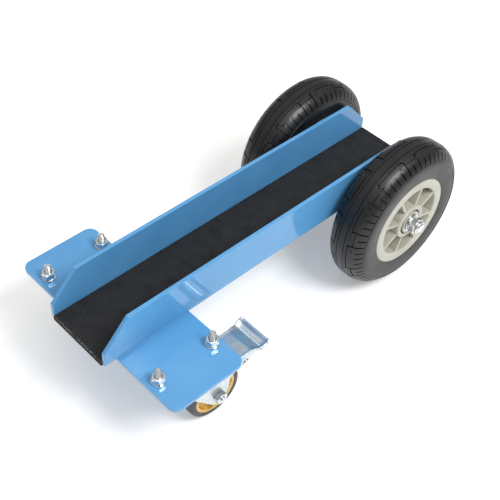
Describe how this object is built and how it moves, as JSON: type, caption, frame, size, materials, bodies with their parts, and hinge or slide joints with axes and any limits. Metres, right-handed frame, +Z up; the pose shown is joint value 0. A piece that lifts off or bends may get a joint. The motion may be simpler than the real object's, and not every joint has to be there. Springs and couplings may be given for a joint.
{
  "type": "panel dolly",
  "caption": "Low dolly for carrying panels and slabs on edge: a rubber-lined steel trough on two large spoked wheels at one end and two braked swivel castors at the other.",
  "frame": {"origin": "on the floor, under the middle of the trough's width and of the dolly's length; the castor plate is welded 3.5 mm to the right of it", "axes": "+X from the castor end to the large-wheel end, along the trough; +Y to the left; +Z up"},
  "size_m": [0.659, 0.336, 0.25],
  "materials": {
    "painted_steel": "glossy light blue enamel on sheet steel",
    "ribbed_rubber": "fine-ribbed black rubber sheet, matte",
    "tyre_rubber": "black moulded tyre rubber, satin",
    "rim_plastic": "warm light grey moulded plastic",
    "zinc_steel": "bright zinc-plated steel",
    "bearing_steel": "polished bearing steel",
    "castor_rubber": "dark grey elastic rubber",
    "castor_hub": "gold-coloured moulded hub",
    "shoe_rubber": "hard black rubber"
  },
  "bodies": {
    "chassis": {"channel": "painted_steel", "castor_plate": "painted_steel", "weld_beads": "painted_steel", "rubber_mat": "ribbed_rubber", "axle_tube": "painted_steel", "axle": "zinc_steel", "plate_bolts": "zinc_steel", "plate_washers": "zinc_steel", "plate_spring_washers": "zinc_steel", "plate_nuts": "zinc_steel", "right_inner_races": "bearing_steel", "right_bearing_sleeve": "zinc_steel", "right_wheel_spacer": "zinc_steel", "right_axle_washer": "zinc_steel", "right_lock_nut": "zinc_steel", "right_top_plate": "zinc_steel", "right_kingpin": "zinc_steel", "left_inner_races": "bearing_steel", "left_bearing_sleeve": "zinc_steel", "left_wheel_spacer": "zinc_steel", "left_axle_washer": "zinc_steel", "left_lock_nut": "zinc_steel", "left_top_plate": "zinc_steel", "left_kingpin": "zinc_steel"},
    "right_wheel": {"right_tyre": "tyre_rubber", "right_rim": "rim_plastic", "right_outer_races": "bearing_steel", "right_bearing_balls": "bearing_steel", "right_bearing_shields": "zinc_steel"},
    "right_swivel": {"right_fork": "zinc_steel", "right_upper_balls": "bearing_steel", "right_lower_balls": "bearing_steel", "right_hub_bush": "zinc_steel", "right_castor_bolt": "zinc_steel", "right_castor_nut": "zinc_steel", "right_pedal_pin": "zinc_steel"},
    "right_castor_wheel": {"right_tread": "castor_rubber", "right_hub": "castor_hub"},
    "right_brake": {"right_pedal": "zinc_steel", "right_brake_shoe": "shoe_rubber"},
    "left_wheel": {"left_tyre": "tyre_rubber", "left_rim": "rim_plastic", "left_outer_races": "bearing_steel", "left_bearing_balls": "bearing_steel", "left_bearing_shields": "zinc_steel"},
    "left_swivel": {"left_fork": "zinc_steel", "left_upper_balls": "bearing_steel", "left_lower_balls": "bearing_steel", "left_hub_bush": "zinc_steel", "left_castor_bolt": "zinc_steel", "left_castor_nut": "zinc_steel", "left_pedal_pin": "zinc_steel"},
    "left_castor_wheel": {"left_tread": "castor_rubber", "left_hub": "castor_hub"},
    "left_brake": {"left_pedal": "zinc_steel", "left_brake_shoe": "shoe_rubber"}
  },
  "joints": [
    {"name": "right_wheel_spin", "type": "hinge", "parent": "chassis", "child": "right_wheel", "pos_m": [0.2045, -0.1005, 0.125], "axis": [0, 1, 0], "continuous": true},
    {"name": "right_castor_swivel", "type": "hinge", "parent": "chassis", "child": "right_swivel", "pos_m": [-0.243, -0.12, 0.125], "axis": [0, 0, 1], "continuous": true},
    {"name": "right_castor_spin", "type": "hinge", "parent": "right_swivel", "child": "right_castor_wheel", "pos_m": [-0.1983, -0.12, 0.045], "axis": [0, 1, 0], "continuous": true},
    {"name": "right_brake_pedal", "type": "hinge", "parent": "right_swivel", "child": "right_brake", "pos_m": [-0.151, -0.12, 0.08399], "axis": [0, 1, 0], "range_deg": [0, 10]},
    {"name": "left_wheel_spin", "type": "hinge", "parent": "chassis", "child": "left_wheel", "pos_m": [0.2045, 0.1005, 0.125], "axis": [0, 1, 0], "continuous": true},
    {"name": "left_castor_swivel", "type": "hinge", "parent": "chassis", "child": "left_swivel", "pos_m": [-0.243, 0.12, 0.125], "axis": [0, 0, 1], "continuous": true},
    {"name": "left_castor_spin", "type": "hinge", "parent": "left_swivel", "child": "left_castor_wheel", "pos_m": [-0.19982, 0.10843, 0.045], "axis": [0.2588, 0.9659, 0], "continuous": true},
    {"name": "left_brake_pedal", "type": "hinge", "parent": "left_swivel", "child": "left_brake", "pos_m": [-0.15413, 0.09619, 0.08399], "axis": [0.2588, 0.9659, 0], "range_deg": [0, 10]}
  ]
}
